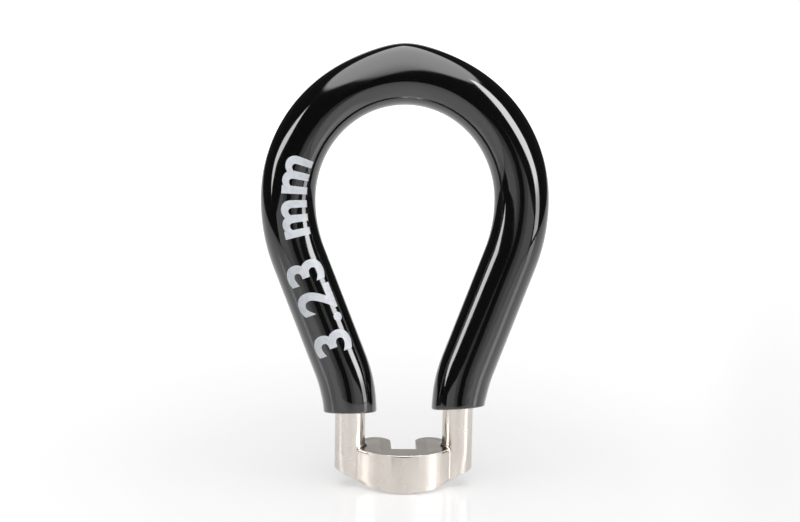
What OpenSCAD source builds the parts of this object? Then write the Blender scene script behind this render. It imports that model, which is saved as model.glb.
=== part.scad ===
// Spoke wrench: a round steel rod bent to a bow, dipped in vinyl, with a slotted
// head brazed between its ends. The origin lies where the axis of the nipple
// meets the flat bottom of the head. +Z runs up that axis, and +Y is the side to
// which the slot opens.

/* [Head] */
// Width of the slot, across the flats of the nipple
slot_w = 3.23; // [3:0.01:3.6]
// From the axis of the nipple back to the end wall of the slot
slot_back = 1.72; // [1.5:0.01:2]
// From the axis of the nipple out to the centres of the round tips of the jaws
jaw_reach = 1.38; // [1.2:0.02:2]
// Width of each jaw beside the slot
jaw_w = 3.75; // [3.4:0.05:4.2]
// How far the round tips stand proud of the sides of the jaws
tip_proud = 0.05; // [0.03:0.01:0.1]
// How far each rod sinks into the side of the head
socket_depth = 0.45; // [0.35:0.05:0.6]
// Thickness of the wall in front of the slot
front_wall = 3.05; // [2.6:0.05:3.5]
// Radius of the barrel-shaped front
barrel_r = 6.75; // [6.5:0.05:7.2]
// Height of the head
head_h = 5.2; // [4.4:0.1:6]
// Radius of the flat at the bottom of the head
nose_flat_r = 4.35; // [4:0.05:4.7]
// Angle at which the turned nose rises outside that flat
nose_angle = 27.5; // [15:0.5:32]
// Width of the edge break at the top of the front
edge_break = 0.2; // [0.1:0.05:0.3]
// How far the edge break is turned off centre
edge_shift = 1.6; // [1:0.1:2.4]

/* [Rod] */
// Diameter of the rod
rod_d = 3.83; // [3.4:0.01:4.2]
// Gap that the braze fills between the rod and its socket
braze_gap = 0.03; // [0.02:0.01:0.06]
// Height above the head at which the rod starts to lean
post_h = 4.7; // [4.3:0.1:5.5]
// Angle at which the bow leans away from the axis of the nipple
lean = 13; // [8:0.5:18]
// Radius of the bend where the lean starts
lean_r = 8; // [6:0.5:12]
// Height above the head at which the bend of the leg starts
bend_up = 3.8; // [3:0.1:4.6]
// Radius of the bend of the leg
bend_r = 18.4; // [14:0.1:22]
// Angle of the leg to the middle of the bow
leg_slant = 21.5; // [18:0.5:26]
// Straight length of the leg
leg_len = 14.5; // [12:0.1:18]
// Radius of the flank between the leg and the crown
flank_r = 20.5; // [17:0.5:26]
// Height of the crown as a share of half its width
crown_share = 1.042; // [0.95:0.002:1.1]

/* [Vinyl] */
// Diameter of the coated bow
coat_d = 7; // [6.7:0.02:7.6]
// Diameter at the dip line, where the coat is thinner
end_d = 6.8; // [6.4:0.02:7]
// Radius of the rounded lip at the dip line
end_round = 0.45; // [0.2:0.05:0.8]
// Length over which the coat grows from the dip line to its full diameter
end_taper = 4; // [3:0.2:6]
// Height of the dip line above the head
dip_up = 4.7; // [4:0.1:5.2]
// Height of the drip at the crown
drip_h = 0.92; // [0.4:0.02:1.4]
// Distance from the tip of the drip to half its height
drip_w = 4; // [2.5:0.1:5]
// Gap between the rod and the coat
coat_gap = 0.02; // [0.01:0.01:0.05]

/* [Braze] */
// Radius of the fillet down the front of each rod
front_fillet = 1; // [0.5:0.05:1.3]
// Radius of the fillet down the back of each rod
back_fillet = 0.6; // [0.3:0.05:0.8]
// Height of the collar round the foot of each rod
collar_h = 0.7; // [0.3:0.05:1]

/* [Hidden] */
$fn = 288;
overrun = 1;

rod_r = rod_d / 2;
coat_r = coat_d / 2;
end_r = end_d / 2;

// The jaws and their sockets set how far apart the rods stand.
socket_r = rod_r + braze_gap;
jaw_x = (slot_w + jaw_w) / 2;
tip_r = jaw_w / 2 + tip_proud;
post_x = slot_w / 2 + jaw_w - socket_depth + socket_r;
front_y = -slot_back - front_wall;
barrel_y = front_y + barrel_r;
head_outer = post_x + rod_r + overrun;

// The line of the rod, drawn flat: x is across, s is up from the bottom of the head.
post_top = head_h + post_h;
bend_start = head_h + bend_up;
bend_top = [post_x + bend_r * (1 - cos(leg_slant)), bend_start + bend_r * sin(leg_slant)];
leg_top = bend_top + leg_len * [sin(leg_slant), cos(leg_slant)];
crown_r = leg_top[0] + flank_r * (1 - cos(leg_slant));
crown_h = crown_r * crown_share;
crown_s = leg_top[1] + flank_r * sin(leg_slant);
flank_x = crown_r - flank_r;

// Lengths along the rod, from the bottom of the head to the tip of the crown
function arc_len(radius, angle) = radius * angle * PI / 180;
function arc_angle(radius, length) = length / radius * 180 / PI;
straight_end = min(post_top, bend_start);
lean_end = post_top + arc_len(lean_r, lean);
bend_end = bend_start + arc_len(bend_r, leg_slant);
leg_end = bend_end + leg_len;
flank_end = leg_end + arc_len(flank_r, leg_slant);
crown_end = flank_end + arc_len((crown_r + crown_h) / 2, 90);
dip_line = head_h + dip_up;

// How finely the bow is drawn: sides of a ring, counts of rings, and degrees between
// rings in a bend, round the drip and round the plain crown
rod_sides = 40;
coat_sides = 28;
lip_rings = 5;
lean_rings = 4;
bend_step = 4.5;
drip_step = 2.5;
plain_step = 10;

// The flat line at a length t along half the rod, as [across, up, heading]
function flat_at(t) =
    t < bend_start ? [post_x, t, 0]
    : t < bend_end ? bend_at(arc_angle(bend_r, t - bend_start))
    : t < leg_end ? leg_at(t - bend_end)
    : t < flank_end ? flank_at(leg_slant - arc_angle(flank_r, t - leg_end))
    : crown_at(90 * (t - flank_end) / (crown_end - flank_end));
function bend_at(angle) =
    [post_x + bend_r * (1 - cos(angle)), bend_start + bend_r * sin(angle), angle];
function leg_at(run) =
    [bend_top[0] + run * sin(leg_slant), bend_top[1] + run * cos(leg_slant), leg_slant];
function flank_at(angle) =
    [flank_x + flank_r * cos(angle), crown_s - flank_r * sin(angle), angle];
function crown_at(angle) =
    [crown_r * cos(angle), crown_s + crown_h * sin(angle),
     -atan2(crown_r * sin(angle), crown_h * cos(angle))];

// The flat line is rolled back over the bend of the lean: depth and height at s
function lean_at(s) = min(lean, max(0, arc_angle(lean_r, s - post_top)));
function rolled(s) =
    let (angle = lean_at(s), rest = max(0, s - lean_end))
    [lean_r * (1 - cos(angle)) + rest * sin(lean),
     min(s, post_top) + lean_r * sin(angle) + rest * cos(lean)];

// Point, outward direction and depth direction at a length t along half the rod.
// Up to the end of the lean the depth direction is skewed, so that the rings there
// lie parallel to the dip line, which is square to the leaning bow.
function frame_at(t) =
    let (p = flat_at(t), angle = lean_at(p[1]), place = rolled(p[1]))
    let (along = [sin(p[2]), cos(p[2]) * sin(angle), cos(p[2]) * cos(angle)])
    [[p[0], place[0], place[1]],
     [cos(p[2]), -sin(p[2]) * sin(angle), -sin(p[2]) * cos(angle)],
     [0, cos(angle), -sin(angle)] - tan(lean - angle) * along];

// A ring of points round that line. The swell thickens only its outer half.
function ring(t, side, r, swell, sides) =
    let (f = frame_at(t))
    [for (i = [0:sides - 1])
        let (turn = 360 * i / sides)
        let (reach = r + swell * max(0, cos(turn)) ^ 2)
        let (p = f[0] + reach * cos(turn) * f[1] + reach * sin(turn) * f[2])
        [side * p[0], p[1], p[2]]];

// Lengths at which there is a ring: a count of even steps after the first
function steps(from, to, count) = [for (i = [1:count]) from + (to - from) * i / count];
function bow_steps(from, bend, crown) = concat(
    steps(from, bend_end, ceil(leg_slant / bend)),
    steps(bend_end, leg_end, 2),
    steps(leg_end, flank_end, ceil(leg_slant / bend)),
    steps(flank_end, crown_end, ceil(90 / crown)));

// Radius of the coat: a round lip, then a slow growth to the full diameter
function smooth(share) = let (s = min(1, max(0, share))) s * s * (3 - 2 * s);
function lip(run) = run < end_round ? sqrt(end_round ^ 2 - (end_round - run) ^ 2) - end_round : 0;
function coat_at(run) = end_r + lip(run) + (coat_r - end_r) * smooth(run / end_taper);

// Height of the drip, which fades out to nothing down the crown
function drip_at(t) =
    let (away = (crown_end - t) / drip_w)
    t < flank_end ? 0 : drip_h / (1 + away ^ 2) * smooth((t - flank_end) / drip_w);

// The rings of half a bow, followed by their mirror image down the other half
function both_halves(lengths, radii, swells, sides) = concat(
    [for (i = [0:len(lengths) - 1]) ring(lengths[i], 1, radii[i], swells[i], sides)],
    [for (i = [len(lengths) - 2:-1:0]) ring(lengths[i], -1, radii[i], swells[i], sides)]);

// Above the lean the bore and the rod have their rings at the same lengths, so they
// keep their gap.
plain_lengths = bow_steps(lean_end, bend_step, plain_step);
rod_lengths = concat([straight_end], steps(straight_end, lean_end, lean_rings), plain_lengths);
bore_lengths = concat([dip_line], steps(dip_line, lean_end, lean_rings), plain_lengths);
coat_lengths = concat(
    [for (i = [0:lip_rings]) dip_line + end_round * (1 - cos(90 * i / lip_rings))],
    steps(dip_line + end_round, lean_end, lean_rings),
    bow_steps(lean_end, bend_step, drip_step));

// Both ends of the rod lie on the turned nose of the head.
function nose_z(r) = max(0, r - nose_flat_r) * tan(nose_angle);
function foot(side) = [for (p = ring(0, side, rod_r, 0, rod_sides))
    [p[0], p[1], nose_z(norm([p[0], p[1]]))]];

rod_rings = concat([foot(1)],
    both_halves(rod_lengths, [for (t = rod_lengths) rod_r], [for (t = rod_lengths) 0], rod_sides),
    [foot(-1)]);
bore_rings = both_halves(bore_lengths,
    [for (t = bore_lengths) (rod_r + coat_gap) / cos(180 / coat_sides)],
    [for (t = bore_lengths) 0], coat_sides);
coat_rings = both_halves(coat_lengths,
    [for (t = coat_lengths) coat_at(t - dip_line)], [for (t = coat_lengths) drip_at(t)], coat_sides);

// Triangles between each ring and the next. The base is the number of the first point.
function walls(rows, sides, base) =
    [for (i = [0:rows - 2], j = [0:sides - 1])
        let (k = (j + 1) % sides, low = base + i * sides, high = low + sides)
        each [[low + j, low + k, high + k], [low + j, high + k, high + j]]];
function flipped(faces) = [for (face = faces) [face[0], face[2], face[1]]];

// The middle of a ring
function middle(row) = [for (axis = [0:2]) let (values = [for (p = row) p[axis]])
    values * [for (value = values) 1] / len(row)];

// A solid over a row of rings, closed at both ends by triangles round the middle of the ring
module loft(rows) {
    sides = len(rows[0]);
    base = (len(rows) - 1) * sides;
    first_middle = base + sides;
    last_middle = first_middle + 1;
    ends = [for (j = [0:sides - 1]) let (k = (j + 1) % sides)
        each [[first_middle, k, j], [last_middle, base + j, base + k]]];
    polyhedron(
        concat([for (row = rows) each row], [middle(rows[0]), middle(rows[len(rows) - 1])]),
        concat(walls(len(rows), sides, 0), ends));
}

// A tube between a row of outer rings and a row of inner ones
module tube(outer, inner) {
    sides = len(outer[0]);
    base = len(outer) * sides;
    outer_last = base - sides;
    inner_last = base + (len(inner) - 1) * sides;
    start = [for (j = [0:sides - 1]) let (k = (j + 1) % sides)
        each [[j, base + k, k], [j, base + j, base + k]]];
    end = [for (j = [0:sides - 1]) let (k = (j + 1) % sides)
        each [[outer_last + j, outer_last + k, inner_last + k],
              [outer_last + j, inner_last + k, inner_last + j]]];
    polyhedron([for (row = concat(outer, inner)) each row],
        concat(walls(len(outer), sides, 0), flipped(walls(len(inner), sides, base)), start, end));
}

// What the turned nose takes off the bottom of the head
module nose_waste() {
    rise = tan(nose_angle);
    nose_h = (head_outer + overrun - nose_flat_r) * rise;
    difference() {
        translate([0, 0, -overrun]) cylinder(h = overrun + nose_h, r = head_outer);
        cylinder(h = nose_h + overrun, r1 = nose_flat_r, r2 = nose_flat_r + (nose_h + overrun) / rise);
        translate([0, 0, -overrun]) cylinder(h = overrun, r = nose_flat_r);
    }
}

// Outline of the head from above
module head_plan() {
    difference() {
        union() {
            intersection() {
                translate([0, barrel_y]) circle(barrel_r);
                translate([-post_x, front_y - overrun]) square([2 * post_x, overrun - front_y]);
            }
            translate([-jaw_x - jaw_w / 2, -overrun])
                square([2 * jaw_x + jaw_w, jaw_reach + overrun]);
            for (side = [-1, 1]) translate([side * jaw_x, jaw_reach]) circle(tip_r);
        }
        translate([-slot_w / 2, -slot_back]) square([slot_w, slot_back + jaw_reach + jaw_w]);
        for (side = [-1, 1]) translate([side * post_x, 0]) circle(socket_r);
    }
}

// The head: a barrel front, a slot that opens to the back and two round jaws
module head() {
    color([0.80, 0.77, 0.72]) difference() {
        linear_extrude(head_h) head_plan();
        nose_waste();
        // The edge break, turned off centre, runs out towards both sides.
        translate([0, barrel_y + edge_shift, head_h - edge_break]) difference() {
            cylinder(h = edge_break + overrun, r = barrel_r + edge_shift + overrun);
            cylinder(h = edge_break + overrun, r1 = barrel_r + edge_shift,
                     r2 = barrel_r + edge_shift - edge_break - overrun);
            translate([-head_outer, 0, -overrun])
                cube([2 * head_outer, barrel_r + edge_shift + overrun, head_h]);
        }
    }
}

// The rod, bent to a bow, with both ends cut to the nose of the head
module bow_rod() {
    color([0.82, 0.79, 0.75]) loft(rod_rings);
}

// The vinyl coat, with the bore that the rod fills
module grip_coat() {
    color([0.05, 0.05, 0.06]) tube(coat_rings, bore_rings);
}

// Where two circles cross, on the side that the sign picks
function crossing(a, ra, b, rb, side) =
    let (gap = b - a)
    let (span = norm(gap))
    let (along = (ra * ra - rb * rb + span * span) / (2 * span))
    let (off = side * sqrt(ra * ra - along * along))
    a + along / span * gap + off / span * [-gap[1], gap[0]];

// The three round outlines that the braze joins, and the centres of its two fillets
rod_at = [post_x, 0];
barrel_at = [0, barrel_y];
tip_at = [jaw_x, jaw_reach];
front_at = crossing(barrel_at, barrel_r + front_fillet, rod_at, rod_r + front_fillet, -1);
back_at = crossing(tip_at, tip_r + back_fillet, rod_at, rod_r + back_fillet, 1);

// Plan of a fillet of radius r round f, in the valley between a circle and the rod
module valley(a, ra, f, r) {
    difference() {
        polygon([a, rod_at, f]);
        translate(a) circle(ra);
        translate(rod_at) circle(rod_r);
        translate(f) circle(r);
    }
}

// Plan of all that lies between the two fillets, for the collar
module collar_plan() {
    difference() {
        polygon([rod_at, front_at, barrel_at, back_at]);
        translate(front_at) circle(front_fillet);
        translate(back_at) circle(back_fillet);
    }
}

// The braze at one rod: two upright fillets, joined by a collar at the foot
module braze() {
    difference() {
        linear_extrude(head_h) {
            valley(barrel_at, barrel_r, front_at, front_fillet);
            valley(tip_at, tip_r, back_at, back_fillet);
        }
        nose_waste();
    }
    intersection() {
        translate([0, 0, head_h]) linear_extrude(collar_h) collar_plan();
        translate([post_x, 0, head_h]) rotate_extrude() difference() {
            translate([rod_r, 0]) square(collar_h);
            translate([rod_r + collar_h, collar_h]) circle(collar_h);
        }
    }
}

module right_braze() {
    color([0.84, 0.81, 0.76]) braze();
}

module left_braze() {
    color([0.84, 0.81, 0.76]) mirror([1, 0, 0]) braze();
}

head();
bow_rod();
grip_coat();
left_braze();
right_braze();
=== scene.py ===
# Looks of the spoke wrench: a vinyl-dipped bow over a nickel-plated rod and head, on a
# glossy pale table with cards round it, under a long soft light, between two slanted
# strip lights and with a soft fill in front.
import bpy
import bmesh
from math import sin, cos, tan, sqrt, pi, radians, ceil, hypot, atan2
from mathutils import Vector, Matrix


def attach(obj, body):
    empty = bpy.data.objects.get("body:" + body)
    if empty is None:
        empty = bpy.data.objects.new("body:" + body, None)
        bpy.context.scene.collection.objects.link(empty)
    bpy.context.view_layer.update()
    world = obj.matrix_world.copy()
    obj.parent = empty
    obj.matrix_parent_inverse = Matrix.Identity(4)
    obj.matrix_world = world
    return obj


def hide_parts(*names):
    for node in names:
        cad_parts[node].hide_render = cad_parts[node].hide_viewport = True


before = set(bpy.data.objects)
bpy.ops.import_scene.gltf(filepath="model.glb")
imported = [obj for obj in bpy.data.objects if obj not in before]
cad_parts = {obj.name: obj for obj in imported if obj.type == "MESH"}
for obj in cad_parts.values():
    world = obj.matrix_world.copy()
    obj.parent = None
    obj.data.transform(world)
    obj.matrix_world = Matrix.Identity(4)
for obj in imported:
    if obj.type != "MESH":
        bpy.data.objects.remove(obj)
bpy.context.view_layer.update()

MM = 0.001

# Sizes in millimetres, as in the part's source
slot_w = 3.23
slot_back = 1.72
jaw_reach = 1.38
jaw_w = 3.75
tip_proud = 0.05
socket_depth = 0.45
front_wall = 3.05
barrel_r = 6.75
head_h = 5.2
nose_flat_r = 4.35
nose_angle = radians(27.5)
edge_break = 0.2
edge_shift = 1.6
rod_d = 3.83
braze_gap = 0.03
post_h = 4.7
lean = radians(13)
lean_r = 8
bend_up = 3.8
bend_r = 18.4
leg_slant = radians(21.5)
leg_len = 14.5
flank_r = 20.5
crown_share = 1.042
coat_d = 7
end_d = 6.8
end_round = 0.45
end_taper = 4
dip_up = 4.7
drip_h = 0.92
drip_w = 4

back_fillet = 0.6

# The source's coat is a loft of facets. The coat here is drawn this much thinner all round,
# so that it stays inside the box of that one.
facet_in = 0.015

rod_r = rod_d / 2
coat_r = coat_d / 2 - facet_in
end_r = end_d / 2 - facet_in
socket_r = rod_r + braze_gap
jaw_x = (slot_w + jaw_w) / 2
tip_r = jaw_w / 2 + tip_proud
post_x = slot_w / 2 + jaw_w - socket_depth + socket_r
front_y = -slot_back - front_wall
barrel_y = front_y + barrel_r

# The line of the rod, drawn flat: x is across, y is up from the bottom of the head
post_top = head_h + post_h
bend_start = head_h + bend_up
bend_top = Vector((post_x + bend_r * (1 - cos(leg_slant)), bend_start + bend_r * sin(leg_slant)))
leg_top = bend_top + leg_len * Vector((sin(leg_slant), cos(leg_slant)))
crown_r = leg_top.x + flank_r * (1 - cos(leg_slant))
crown_h = crown_r * crown_share
crown_s = leg_top.y + flank_r * sin(leg_slant)
flank_x = crown_r - flank_r

# Lengths along half of that line
straight_end = min(post_top, bend_start)
lean_end = post_top + lean_r * lean
bend_end = bend_start + bend_r * leg_slant
leg_end = bend_end + leg_len
flank_end = leg_end + flank_r * leg_slant
crown_end = flank_end + (crown_r + crown_h) / 2 * pi / 2
dip_line = head_h + dip_up

# The dip line lies a little lower on the left, and each lip rises a little outwards.
dip_tip = radians(2.5)
dip_rise = radians(1.7)
dip_fade = 3
lip_round = end_round / 2


def flat_at(t):
    """Across, up and heading of the flat line at a length t along half the rod."""
    if t < bend_start:
        return post_x, t, 0
    if t < bend_end:
        a = (t - bend_start) / bend_r
        return post_x + bend_r * (1 - cos(a)), bend_start + bend_r * sin(a), a
    if t < leg_end:
        run = t - bend_end
        return bend_top.x + run * sin(leg_slant), bend_top.y + run * cos(leg_slant), leg_slant
    if t < flank_end:
        a = leg_slant - (t - leg_end) / flank_r
        return flank_x + flank_r * cos(a), crown_s - flank_r * sin(a), a
    a = pi / 2 * (t - flank_end) / (crown_end - flank_end)
    return crown_r * cos(a), crown_s + crown_h * sin(a), -atan2(crown_r * sin(a), crown_h * cos(a))


def frame_at(t):
    """Point, outward, depth and forward directions at a length t, with the lean bent in."""
    x, s, heading = flat_at(t)
    a = min(lean, max(0, (s - post_top) / lean_r))
    rest = max(0, s - lean_end)
    y = lean_r * (1 - cos(a)) + rest * sin(lean)
    z = min(s, post_top) + lean_r * sin(a) + rest * cos(lean)
    out = Vector((cos(heading), -sin(heading) * sin(a), -sin(heading) * cos(a)))
    along = Vector((sin(heading), cos(heading) * sin(a), cos(heading) * cos(a)))
    deep = Vector((0, cos(a), -sin(a))) - tan(lean - a) * along
    return Vector((x, y, z)), out, deep, along


def smooth(share):
    s = min(1, max(0, share))
    return s * s * (3 - 2 * s)


def coat_at(run):
    lip = sqrt(lip_round ** 2 - (lip_round - run) ** 2) - lip_round if run < lip_round else 0
    return end_r + lip + (coat_r - end_r) * smooth(run / end_taper)


def drip_at(t):
    if t < flank_end:
        return 0
    away = (crown_end - t) / drip_w
    return drip_h / (1 + away ** 2) * smooth((t - flank_end) / drip_w)


def plain_at(t):
    return 0


def ring(t, side, r, swell, sides):
    place, out, deep, along = frame_at(t)
    points = []
    for i in range(sides):
        a = 2 * pi * i / sides
        reach = r + swell * max(0, cos(a)) ** 2
        p = place + out * reach * cos(a) + deep * reach * sin(a)
        points.append(Vector((side * p.x, p.y, p.z)))
    return points


def tipped_ring(t, side, r, swell, sides):
    """A ring of the coat, moved along the rod near the dip line to lie in its plane."""
    along = frame_at(t)[3]
    slope = tan(flat_at(dip_line)[2] + dip_rise)
    fade = 1 - smooth((t - dip_line) / dip_fade)
    points = ring(t, side, r, swell, sides)
    for i, p in enumerate(points):
        push = fade * (r * cos(2 * pi * i / sides) * slope + p.x * tan(dip_tip))
        p += Vector((side * along.x, along.y, along.z)) * push
    return points


def steps(low, high, size):
    count = max(1, ceil((high - low) / size))
    return [low + (high - low) * i / count for i in range(1, count + 1)]


def both_halves(lengths, shape_at, radius, swell, sides):
    rows = [shape_at(t, 1, radius(t), swell(t), sides) for t in lengths]
    rows += [shape_at(t, -1, radius(t), swell(t), sides) for t in reversed(lengths[:-1])]
    return rows


def put(name, data):
    piece = bpy.data.objects.new(name, data)
    bpy.context.scene.collection.objects.link(piece)
    return piece


def from_bmesh(name, shape):
    bmesh.ops.recalc_face_normals(shape, faces=shape.faces)
    for face in shape.faces:
        face.smooth = True
    mesh = bpy.data.meshes.new(name)
    shape.to_mesh(mesh)
    shape.free()
    return put(name, mesh)


def skin(shape, rows):
    """Quads over a row of rings; returns the rings' vertices."""
    made = [[shape.verts.new(p * MM) for p in row] for row in rows]
    sides = len(made[0])
    for low, high in zip(made, made[1:]):
        for j in range(sides):
            k = (j + 1) % sides
            shape.faces.new((low[j], low[k], high[k], high[j]))
    return made


def applied(piece):
    """The piece with its modifiers applied."""
    graph = bpy.context.evaluated_depsgraph_get()
    graph.update()
    mesh = bpy.data.meshes.new_from_object(piece.evaluated_get(graph))
    piece.modifiers.clear()
    piece.data = mesh
    return piece


def discard(*pieces):
    for piece in pieces:
        bpy.data.objects.remove(piece)


def nose_z(r):
    return max(0, r - nose_flat_r) * tan(nose_angle)


def make_rod():
    """The bent rod, whose feet are cut to the nose of the head and softly rounded."""
    sides = 96
    bend_step = 0.1
    bow_step = 0.6
    soft = 0.08
    soft_share = 0.3
    lengths = [straight_end / 2, straight_end] + steps(straight_end, lean_end, bend_step)
    lengths += steps(lean_end, crown_end, bow_step)

    def foot(side, inset, lift):
        flat = [Vector((p.x, p.y)) for p in ring(0, side, rod_r - inset, 0, sides)]
        return [Vector((p.x, p.y, nose_z(hypot(p.x, p.y)) + lift)) for p in flat]

    def round_foot(side):
        return [foot(side, soft, 0), foot(side, soft_share * soft, soft_share * soft),
                foot(side, 0, soft)]

    shape = bmesh.new()
    rows = round_foot(1) + both_halves(lengths, ring, lambda t: rod_r, plain_at, sides)
    rows += reversed(round_foot(-1))
    made = skin(shape, rows)
    shape.faces.new(made[0])
    shape.faces.new(made[-1])
    return from_bmesh("plated_rod", shape)


def make_coat():
    """The vinyl coat: a round lip at each dip line, the drip at the crown, and its bore."""
    sides = 128
    lip_rings = 10
    coat_step = 0.35
    bore_step = 1.5
    lip = [dip_line + lip_round * (1 - cos(pi / 2 * i / lip_rings)) for i in range(lip_rings + 1)]
    lengths = lip + steps(lip[-1], crown_end, coat_step)
    bore = [dip_line] + steps(dip_line, crown_end, bore_step)
    shape = bmesh.new()
    out = skin(shape, both_halves(lengths, tipped_ring, lambda t: coat_at(t - dip_line),
                                  drip_at, sides))
    into = skin(shape, both_halves(bore, tipped_ring, lambda t: rod_r, plain_at, sides))
    for a, b in ((out[0], into[0]), (out[-1], into[-1])):
        for j in range(sides):
            k = (j + 1) % sides
            shape.faces.new((a[j], a[k], b[k], b[j]))
    return from_bmesh("vinyl_grip", shape)


def meet(a, ra, b, rb, side):
    """Where two circles cross, on the side that the sign picks."""
    gap = b - a
    span = gap.length
    along = (ra * ra - rb * rb + span * span) / (2 * span)
    off = side * sqrt(ra * ra - along * along)
    return a + gap * along / span + Vector((-gap.y, gap.x)) * off / span


def arc(centre, r, start, end, turn, count):
    """Points on an arc between two points of it, turning left (1) or right (-1)."""
    a = atan2(start.y - centre.y, start.x - centre.x)
    b = atan2(end.y - centre.y, end.x - centre.x)
    while turn * (b - a) < 0:
        b += turn * 2 * pi
    angles = [a + (b - a) * i / count for i in range(count + 1)]
    return [centre + Vector((cos(c), sin(c))) * r for c in angles]


def head_outline():
    fine = 40
    barrel = Vector((0, barrel_y))
    rod = Vector((post_x, 0))
    tip = Vector((jaw_x, jaw_reach))
    front = meet(barrel, barrel_r, rod, socket_r, -1)
    back = meet(tip, tip_r, rod, socket_r, 1)
    mouth = Vector((slot_w / 2, jaw_reach + sqrt(tip_r ** 2 - (jaw_x - slot_w / 2) ** 2)))
    right = arc(barrel, barrel_r, Vector((0, front_y)), front, 1, fine)
    right += arc(rod, socket_r, front, back, -1, fine)[1:]
    right += arc(tip, tip_r, back, mouth, 1, fine)[1:]
    right.append(Vector((slot_w / 2, -slot_back)))
    left = [Vector((-p.x, p.y)) for p in reversed(right[1:])]
    return right + left


def turned(name, profile, middle, ring_shaped):
    """A closed solid turned round an upright axis, from points of radius and height."""
    count = 256
    shape = bmesh.new()
    turns = [Vector((cos(2 * pi * i / count), sin(2 * pi * i / count), 0)) for i in range(count)]
    made = skin(shape, [[middle + turn * r + Vector((0, 0, z)) for turn in turns]
                        for r, z in profile])
    for j in range(count):
        k = (j + 1) % count
        if ring_shaped:
            shape.faces.new((made[-1][j], made[-1][k], made[0][k], made[0][j]))
    if not ring_shaped:
        shape.faces.new(made[0])
        shape.faces.new(made[-1])
    return from_bmesh(name, shape)


def cut(piece, tool, how):
    step = piece.modifiers.new("cut", "BOOLEAN")
    step.operation = how
    step.solver = "EXACT"
    step.object = tool
    applied(piece)
    discard(tool)


def make_head():
    """The head: its outline drawn up, cut by the turned nose and the off-centre edge break."""
    overrun = 1
    break_in = 0.6 * edge_break
    break_down = 1.7 * edge_break
    break_end = radians(78)
    break_points = 9
    shape = bmesh.new()
    outline = head_outline()
    low = [shape.verts.new((p.x * MM, p.y * MM, -overrun * MM)) for p in outline]
    high = [shape.verts.new((p.x * MM, p.y * MM, head_h * MM)) for p in outline]
    for j in range(len(outline)):
        k = (j + 1) % len(outline)
        shape.faces.new((low[j], low[k], high[k], high[j]))
    shape.faces.new(low)
    shape.faces.new(high)
    head = from_bmesh("plated_head", shape)
    wide = post_x + rod_r + overrun
    top = head_h + overrun
    blank = [(nose_flat_r, 0), (wide, nose_z(wide)), (wide, top)]
    cut(head, turned("nose_blank", blank, Vector((0, 0, 0)), False), "INTERSECT")
    ring_r = barrel_r + edge_shift
    turns = [break_end * (1 - i / break_points) for i in range(break_points + 1)]
    waste = [(ring_r - break_in * (1 - cos(a)), head_h - break_down * (1 - sin(a))) for a in turns]
    waste += [(ring_r + overrun, head_h - break_down), (ring_r + overrun, top),
              (ring_r - break_in - 2 * overrun, top)]
    edge_middle = Vector((0, barrel_y + edge_shift, 0))
    cut(head, turned("edge_waste", waste, edge_middle, True), "DIFFERENCE")
    return head


def soften(piece, width, limit):
    """Narrow rounds along the sharp edges, as the plating leaves them."""
    step = piece.modifiers.new("soft_edges", "BEVEL")
    step.width = width * MM
    step.segments = 4
    step.limit_method = "ANGLE"
    step.angle_limit = limit
    step.harden_normals = True
    return applied(piece)


def front_bead():
    """Plan of the full front bead: a flatter wall that leaves the barrel and ends on the rod."""
    fine = 16
    wall_r = 14
    wall_from = radians(36)
    barrel = Vector((0, barrel_y))
    rod = Vector((post_x, 0))
    leave = Vector((sin(wall_from), -cos(wall_from)))
    middle = barrel + leave * (barrel_r - wall_r)
    end = meet(middle, wall_r, rod, rod_r, -1)
    inner = meet(barrel, barrel_r, rod, rod_r, -1)
    return [inner] + arc(middle, wall_r, barrel + leave * barrel_r, end, 1, fine)


def back_bead():
    """Plan of the back bead: a hollow fillet between the round end of the jaw and the rod."""
    fine = 16
    tip = Vector((jaw_x, jaw_reach))
    rod = Vector((post_x, 0))
    hollow = meet(tip, tip_r + back_fillet, rod, rod_r + back_fillet, 1)
    on_tip = tip + (hollow - tip).normalized() * tip_r
    on_rod = rod + (hollow - rod).normalized() * rod_r
    inner = meet(tip, tip_r, rod, rod_r, 1)
    return [inner] + arc(hollow, back_fillet, on_tip, on_rod, 1, fine)


def pour(shape, side, outline):
    """Fills an outline at one joint, from the nose of the head up to its top."""
    low = [shape.verts.new((side * p.x * MM, p.y * MM, nose_z(p.length) * MM)) for p in outline]
    high = [shape.verts.new((side * p.x * MM, p.y * MM, head_h * MM)) for p in outline]
    for j in range(len(low)):
        shape.faces.new((low[j - 1], low[j], high[j], high[j - 1]))
    shape.faces.new(low)
    shape.faces.new(high)


def make_braze(name, side, head, rod):
    """The braze: head, rod and beads as one, blurred until only the joint stands proud."""
    voxel = 0.08
    blurs = 90
    shape = bmesh.new()
    pour(shape, side, front_bead())
    pour(shape, side, back_bead())
    shape.from_mesh(head.data)
    shape.from_mesh(rod.data)
    both = from_bmesh(name, shape)
    grain = both.modifiers.new("grain", "REMESH")
    grain.mode = "VOXEL"
    grain.voxel_size = voxel * MM
    applied(both)
    middle = Vector((side * (post_x - rod_r / 3), 0, head_h / 2)) * MM
    reach = Vector((post_x, barrel_r + rod_r, 2 * head_h)) * MM
    box = bmesh.new()
    bmesh.ops.create_cube(box, size=1)
    place = Matrix.Translation(middle) @ Matrix.Diagonal((*reach, 1))
    bmesh.ops.transform(box, matrix=place, verts=box.verts)
    cut(both, from_bmesh("near_joint", box), "INTERSECT")
    blur = both.modifiers.new("blur", "SMOOTH")
    blur.factor = 0.5
    blur.iterations = blurs
    applied(both)
    for face in both.data.polygons:
        face.use_smooth = True
    return both


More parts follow.
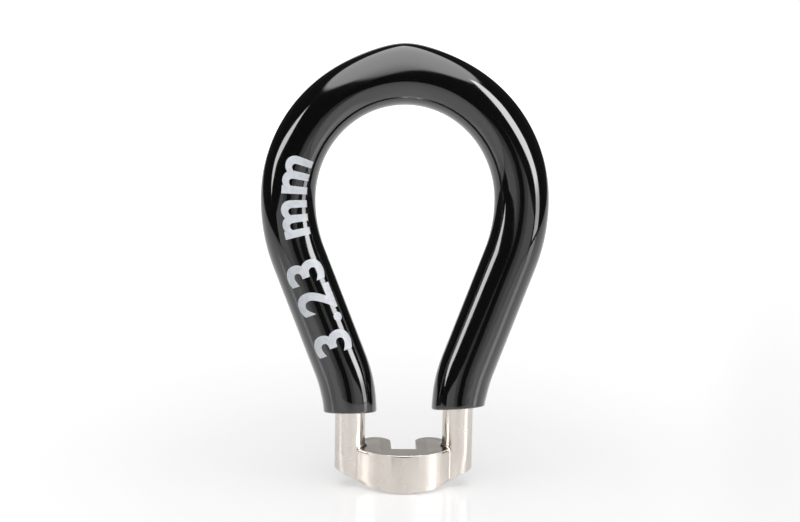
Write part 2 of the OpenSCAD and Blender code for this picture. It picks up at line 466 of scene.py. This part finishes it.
def make_mark():
    """The slot's width in plain figures, laid on the front of the left leg."""
    proud = 0.012
    grid = 0.25
    up_leg = 7.4
    words = bpy.data.curves.new("size_mark", "FONT")
    words.body = "3.23 mm"
    words.size = 6.8
    words.offset = 0.2
    words.space_character = 1.12
    words.align_x = "CENTER"
    words.resolution_u = 6
    letters = put("size_letters", words)
    graph = bpy.context.evaluated_depsgraph_get()
    mesh = bpy.data.meshes.new_from_object(letters.evaluated_get(graph))
    discard(letters)
    shape = bmesh.new()
    shape.from_mesh(mesh)
    for axis in (Vector((1, 0, 0)), Vector((0, 1, 0))):
        reach = [v.co.dot(axis) for v in shape.verts]
        for at in steps(min(reach), max(reach), grid)[:-1]:
            everything = shape.verts[:] + shape.edges[:] + shape.faces[:]
            bmesh.ops.bisect_plane(shape, geom=everything, plane_co=axis * at, plane_no=axis)
    heights = [v.co.y for v in shape.verts]
    middle_y = (min(heights) + max(heights)) / 2
    middle_t = (bend_end + leg_end) / 2 + up_leg
    for v in shape.verts:
        place, out, deep, along = frame_at(middle_t + v.co.x)
        a = (v.co.y - middle_y) / coat_r
        p = place + (out * sin(a) - deep * cos(a)) * (coat_r + proud)
        v.co = Vector((-p.x, p.y, p.z)) * MM
    return from_bmesh("size_mark", shape)


def nodes_of(name):
    paint = bpy.data.materials.new(name)
    paint.use_nodes = True
    tree = paint.node_tree
    shader = tree.nodes["Principled BSDF"]
    place = tree.nodes.new("ShaderNodeTexCoord").outputs["Object"]
    return paint, tree, shader, place


def noise(tree, place, scale, detail):
    grain = tree.nodes.new("ShaderNodeTexNoise")
    grain.inputs["Scale"].default_value = scale
    grain.inputs["Detail"].default_value = detail
    tree.links.new(place, grain.inputs["Vector"])
    return grain.outputs["Fac"]


def spread(tree, value, low, high, start=0.3, end=0.7):
    """The value, mapped to a range."""
    step = tree.nodes.new("ShaderNodeMapRange")
    step.inputs["From Min"].default_value = start
    step.inputs["From Max"].default_value = end
    step.inputs["To Min"].default_value = low
    step.inputs["To Max"].default_value = high
    tree.links.new(value, step.inputs["Value"])
    return step.outputs["Result"]


def tint(tree, value, dark, light, start=0.3, end=0.7):
    ramp = tree.nodes.new("ShaderNodeValToRGB")
    ramp.color_ramp.elements[0].position = start
    ramp.color_ramp.elements[0].color = (*dark, 1)
    ramp.color_ramp.elements[1].position = end
    ramp.color_ramp.elements[1].color = (*light, 1)
    tree.links.new(value, ramp.inputs["Fac"])
    return ramp.outputs["Color"]


def bump(tree, shader, value, strength, depth, under=None):
    step = tree.nodes.new("ShaderNodeBump")
    step.inputs["Strength"].default_value = strength
    step.inputs["Distance"].default_value = depth * MM
    tree.links.new(value, step.inputs["Height"])
    if under is not None:
        tree.links.new(under, step.inputs["Normal"])
    tree.links.new(step.outputs["Normal"], shader.inputs["Normal"])
    return step.outputs["Normal"]


# In the three paints a noise is given by its scale and detail, a bump by its strength and its
# depth in millimetres, and a roughness by its least and its most.
def vinyl():
    """Black dipped vinyl with slow waves and a fine grain."""
    cloud_noise = (60, 3)
    fine_noise = (900, 2)
    dark = (0.0014, 0.0014, 0.0016)
    light = (0.003, 0.003, 0.0032)
    rough = (0.06, 0.11)
    cloud_bump = (0.25, 0.12)
    fine_bump = (0.12, 0.01)
    paint, tree, shader, place = nodes_of("dipped_vinyl")
    cloud = noise(tree, place, *cloud_noise)
    fine = noise(tree, place, *fine_noise)
    tree.links.new(tint(tree, cloud, dark, light), shader.inputs["Base Color"])
    tree.links.new(spread(tree, fine, *rough), shader.inputs["Roughness"])
    shader.inputs["IOR"].default_value = 1.6
    shader.inputs["Coat Weight"].default_value = 1
    shader.inputs["Coat Roughness"].default_value = 0.04
    flow = bump(tree, shader, cloud, *cloud_bump)
    bump(tree, shader, fine, *fine_bump, flow)
    return paint


def nickel(name, dark, light, rough):
    """Satin nickel plate whose tone and roughness change a little from place to place."""
    cloud_noise = (240, 4)
    grain_noise = (3200, 2)
    cloud_bump = (0.04, 0.03)
    grain_bump = (0.12, 0.01)
    paint, tree, shader, place = nodes_of(name)
    cloud = noise(tree, place, *cloud_noise)
    grain = noise(tree, place, *grain_noise)
    tree.links.new(tint(tree, cloud, dark, light), shader.inputs["Base Color"])
    tree.links.new(spread(tree, cloud, *rough), shader.inputs["Roughness"])
    shader.inputs["Metallic"].default_value = 1
    flow = bump(tree, shader, grain, *grain_bump)
    bump(tree, shader, cloud, *cloud_bump, flow)
    return paint


def ink():
    """Slightly uneven white print."""
    worn_noise = (1500, 4)
    worn_range = (0.35, 0.55)
    dark = (0.80, 0.84, 0.90)
    light = (0.88, 0.92, 0.97)
    rough = (0.35, 0.5)
    worn_bump = (0.1, 0.01)
    paint, tree, shader, place = nodes_of("printed_white")
    worn = noise(tree, place, *worn_noise)
    tree.links.new(tint(tree, worn, dark, light, *worn_range), shader.inputs["Base Color"])
    tree.links.new(spread(tree, worn, *rough), shader.inputs["Roughness"])
    bump(tree, shader, worn, *worn_bump)
    return paint


def wear(piece, paint):
    piece.data.materials.clear()
    piece.data.materials.append(paint)
    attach(piece, "root")


soft_width = 0.06
soft_limit = radians(25)
head_raw = make_head()
rod = make_rod()
left_braze = make_braze("left_bead", -1, head_raw, rod)
right_braze = make_braze("right_bead", 1, head_raw, rod)
head = soften(head_raw, soft_width, soft_limit)
grip = make_coat()
mark = make_mark()

warm_dark = (0.765, 0.71, 0.655)
warm_light = (0.84, 0.785, 0.73)
bead_dark = (0.77, 0.71, 0.64)
bead_light = (0.85, 0.79, 0.73)
head_rough = (0.22, 0.32)
rod_rough = (0.2, 0.3)
bead_rough = (0.16, 0.28)
bead_paint = nickel("braze_nickel", bead_dark, bead_light, bead_rough)
wear(head, nickel("satin_nickel", warm_dark, warm_light, head_rough))
wear(rod, nickel("rod_nickel", warm_dark, warm_light, rod_rough))
wear(left_braze, bead_paint)
wear(right_braze, bead_paint)
wear(grip, vinyl())
wear(mark, ink())

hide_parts("head")
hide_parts("bow_rod")
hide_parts("grip_coat")
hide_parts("left_braze")
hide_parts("right_braze")


def maths(tree, how, *values):
    """One sum of numbers or sockets."""
    step = tree.nodes.new("ShaderNodeMath")
    step.operation = how
    for socket, value in zip(step.inputs, values):
        if isinstance(value, (int, float)):
            socket.default_value = value
        else:
            tree.links.new(value, socket)
    return step.outputs[0]


def level_by_ray(tree, camera_level, mirror_level):
    """A strength for camera rays, another for mirrored and bent rays, and none for the rest."""
    path = tree.nodes.new("ShaderNodeLightPath")
    mirrored = maths(tree, "MAXIMUM", path.outputs["Is Glossy Ray"],
                     path.outputs["Is Transmission Ray"])
    return maths(tree, "MULTIPLY_ADD", path.outputs["Is Camera Ray"], camera_level,
                 maths(tree, "MULTIPLY", mirrored, mirror_level))


def run_of(tree, place, axis, start, end, low, high):
    """A level that runs from low to high along an axis of the studio, or out from its middle."""
    if axis == "out":
        away = tree.nodes.new("ShaderNodeVectorMath")
        away.operation = "LENGTH"
        tree.links.new(place, away.inputs[0])
        return spread(tree, away.outputs["Value"], low, high, start, end)
    parts = tree.nodes.new("ShaderNodeSeparateXYZ")
    tree.links.new(place, parts.inputs[0])
    return spread(tree, parts.outputs[axis], low, high, start, end)


def staged(name, corners, grey, rough, camera_run, mirror_run):
    """A flat pale sheet of the studio, from its corners in metres and its levels."""
    shape = bmesh.new()
    shape.faces.new([shape.verts.new(corner) for corner in corners])
    sheet = from_bmesh(name, shape)
    paint, tree, shader, place = nodes_of(name)
    shader.inputs["Base Color"].default_value = (grey, grey, grey, 1)
    shader.inputs["Roughness"].default_value = rough
    shader.inputs["Emission Color"].default_value = (1, 1, 1, 1)
    tree.links.new(level_by_ray(tree, run_of(tree, place, *camera_run),
                                run_of(tree, place, *mirror_run)),
                   shader.inputs["Emission Strength"])
    sheet.data.materials.append(paint)
    return sheet


def card(name, corners, mirror_run):
    """A card of the studio that glows in gloss and metal only, and hides nothing from a camera."""
    card_grey = 0.3
    card_rough = 0.6
    sheet = staged(name, corners, card_grey, card_rough, mirror_run, mirror_run)
    sheet.visible_camera = False


def standing(low_x, high_x, y, height):
    """The corners of an upright card that runs across the studio."""
    return (low_x, y, 0), (high_x, y, 0), (high_x, y, height), (low_x, y, height)


def even(level):
    """A run that has the same level everywhere."""
    return 2, 0, 1, level, level


# The table, whose own level rises outwards from the part
table_x = 0.22
table_front = -0.52
table_back = 0.75
table_grey = 0.62
table_rough = 0.18
table_mirror = 0.34
near_r = 0.03
far_r = 0.25
near_level = 0.43
far_level = 0.95
staged("table", ((-table_x, table_front, 0), (table_x, table_front, 0),
                 (table_x, table_back, 0), (-table_x, table_back, 0)),
       table_grey, table_rough, ("out", near_r, far_r, near_level, far_level), even(table_mirror))

# The cards: one behind, and on each side one in front and one beside
back_x = 0.16
back_height = 0.33
back_level = 0.42
wall_x = 0.24
wall_back = -0.16
wall_height = 0.2
wall_low = 0.05
wall_level = 0.55
front_inner = 0.08
fade_start = 0.09
fade_end = 0.17
front_dark = 0.02
front_light = 0.32
card("back_card", standing(-back_x, back_x, table_back, back_height), even(back_level))
for side in (-1, 1):
    card("front_card", standing(side * front_inner, side * wall_x, table_front, wall_height),
         (0, side * fade_start, side * fade_end, front_dark, front_light))
    card("side_card", ((side * wall_x, wall_back, 0), (side * wall_x, table_front, 0),
                       (side * wall_x, table_front, wall_height),
                       (side * wall_x, wall_back, wall_low)),
         even(wall_level))


def lamp(name, size, level, place, along, back):
    """A flat light of a given brightness, from its middle, long axis and back direction."""
    light = bpy.data.lights.new(name, "AREA")
    light.shape = "RECTANGLE"
    light.size, light.size_y = size
    light.energy = level * pi * size[0] * size[1]
    holder = put(name, light)
    holder.visible_camera = False
    turn = Matrix((along.cross(back), along, back)).transposed().to_4x4()
    holder.matrix_world = Matrix.Translation(place) @ turn
    return holder


def graded(tree, value, stops):
    """A smooth line of strengths through a few stops."""
    ramp = tree.nodes.new("ShaderNodeValToRGB")
    line = ramp.color_ramp
    line.interpolation = "CARDINAL"
    while len(line.elements) < len(stops):
        line.elements.new(0.5)
    for element, (at, level) in zip(line.elements, stops):
        element.position = at
        element.color = (level, level, level, 1)
    tree.links.new(value, ramp.inputs["Fac"])
    return ramp.outputs["Color"]


def shaped(holder, middle_shares, width_shares, level_shares, edge):
    """Shapes a lamp's glow by its middle, width and level, from its low to its high end.

    All three are shares of the lamp's own, and edge is how soft its outline is.
    """
    holder.data.use_nodes = True
    tree = holder.data.node_tree
    spot = tree.nodes.new("ShaderNodeNewGeometry")
    parts = tree.nodes.new("ShaderNodeSeparateXYZ")
    tree.links.new(spot.outputs["Parametric"], parts.inputs[0])
    across, up = parts.outputs[0], parts.outputs[1]
    away = maths(tree, "ABSOLUTE", maths(tree, "SUBTRACT", across, graded(tree, up, middle_shares)))
    inside = maths(tree, "MULTIPLY_ADD", away, -2, graded(tree, up, width_shares))
    glow = maths(tree, "MULTIPLY", spread(tree, inside, 0, 1, 0, edge),
                 graded(tree, up, level_shares))
    tree.links.new(glow, tree.nodes["Emission"].inputs["Strength"])


upward = Vector((0, 0, 1))
centre = Vector((0, 0.0035, 0.028))

# The long softbox: egg-shaped, narrow and dim at its front end
soft_up = 0.3
soft_front = -2.7 * soft_up
soft_back = 1.05 * soft_up
soft_size = (1.44 * soft_up, soft_back - soft_front)
soft_level = 2.6
soft_edge = 0.1
soft_mid_shares = ((0, 0.5), (1, 0.5))
soft_width_shares = ((0, 0.02), (0.26, 0.2), (0.45, 0.5), (0.66, 0.98), (0.83, 0.74), (0.98, 0))
soft_level_shares = ((0.01, 0.08), (0.26, 0.48), (0.41, 0.72), (0.54, 0.93), (0.75, 0.96), (1, 0.8))
soft = lamp("long_softbox", soft_size, soft_level,
            centre + Vector((0, (soft_front + soft_back) / 2, soft_up)), Vector((0, 1, 0)), upward)
shaped(soft, soft_mid_shares, soft_width_shares, soft_level_shares, soft_edge)

# The two side lights, which only glint: they lean forward and narrow towards both ends
strip_x = 0.3
strip_edge = 0.06
right_size = (0.4, 0.56)
right_level = 7
right_place = Vector((strip_x, -0.25, 0.28))
right_mid_shares = ((0, 0.85), (0.2, 0.8), (0.35, 0.67), (0.5, 0.55), (0.7, 0.58), (0.86, 0.65))
right_width_shares = ((0, 0.27), (0.2, 0.3), (0.33, 0.41), (0.5, 0.62), (0.62, 0.68),
                      (0.85, 0.46), (1, 0))
right_level_shares = ((0.12, 0.5), (0.2, 1))
right_strip = lamp("right_strip", right_size, right_level, right_place, upward, Vector((1, 0, 0)))
shaped(right_strip, right_mid_shares, right_width_shares, right_level_shares, strip_edge)
left_size = (0.3, 0.31)
left_level = 5.5
left_place = Vector((-strip_x, -0.1, 0.215))
left_mid_shares = ((0, 0.38), (0.12, 0.34), (0.3, 0.35), (0.6, 0.58), (1, 0.63))
left_width_shares = ((0, 0.05), (0.12, 0.2), (0.3, 0.3), (0.5, 0.38), (0.75, 0.26), (1, 0))
left_level_shares = ((0, 1), (1, 1))
left_strip = lamp("left_strip", left_size, left_level, left_place, upward, Vector((-1, 0, 0)))
shaped(left_strip, left_mid_shares, left_width_shares, left_level_shares, strip_edge)
for holder in (left_strip, right_strip):
    holder.visible_diffuse = False

# A soft fill from the front, which lights the printed figures and doesn't glint
fill_slope = radians(20)
fill_size = (0.6, 0.4)
fill_level = 1.7
fill_away = 0.76
fill_back = Vector((0, -cos(fill_slope), sin(fill_slope)))
fill = lamp("front_fill", fill_size, fill_level, centre + fill_back * fill_away,
            Vector((0, sin(fill_slope), cos(fill_slope))), fill_back)
fill.visible_glossy = False

world = bpy.data.worlds.new("dim_room")
world.use_nodes = True
tree = world.node_tree
sky = tree.nodes["Background"]
sky.inputs["Color"].default_value = (1, 1, 1, 1)
room_level = 0.03
tree.links.new(maths(tree, "ADD", level_by_ray(tree, 1 - room_level, 0), room_level),
               sky.inputs["Strength"])
bpy.context.scene.world = world
bpy.context.scene.view_settings.view_transform = "Standard"


def look():
    """The view of the photograph, fitted to the part's outline and to marks on its head."""
    elevation = radians(14.354)
    yaw = radians(-2.806)
    roll = radians(0.911)
    distance = 0.4
    focal_px = 3142.5
    width_px = 800
    right_px = 4.9
    down_px = 4.6
    ahead = Vector((-sin(yaw) * cos(elevation), cos(yaw) * cos(elevation), -sin(elevation)))
    across = ahead.cross(Vector((0, 0, 1))).normalized()
    upward = across.cross(ahead)
    right = across * cos(roll) + upward * sin(roll)
    up = upward * cos(roll) - across * sin(roll)
    eye = bpy.data.cameras.new("camera")
    eye.sensor_width = 36
    eye.lens = focal_px * eye.sensor_width / width_px
    eye.clip_start = 0.01
    eye.clip_end = 10
    holder = put("camera", eye)
    aim = centre + (up * down_px - right * right_px) * distance / focal_px
    turn = Matrix((right, up, -ahead)).transposed().to_4x4()
    holder.matrix_world = Matrix.Translation(aim - ahead * distance) @ turn
    bpy.context.scene.camera = holder


look()
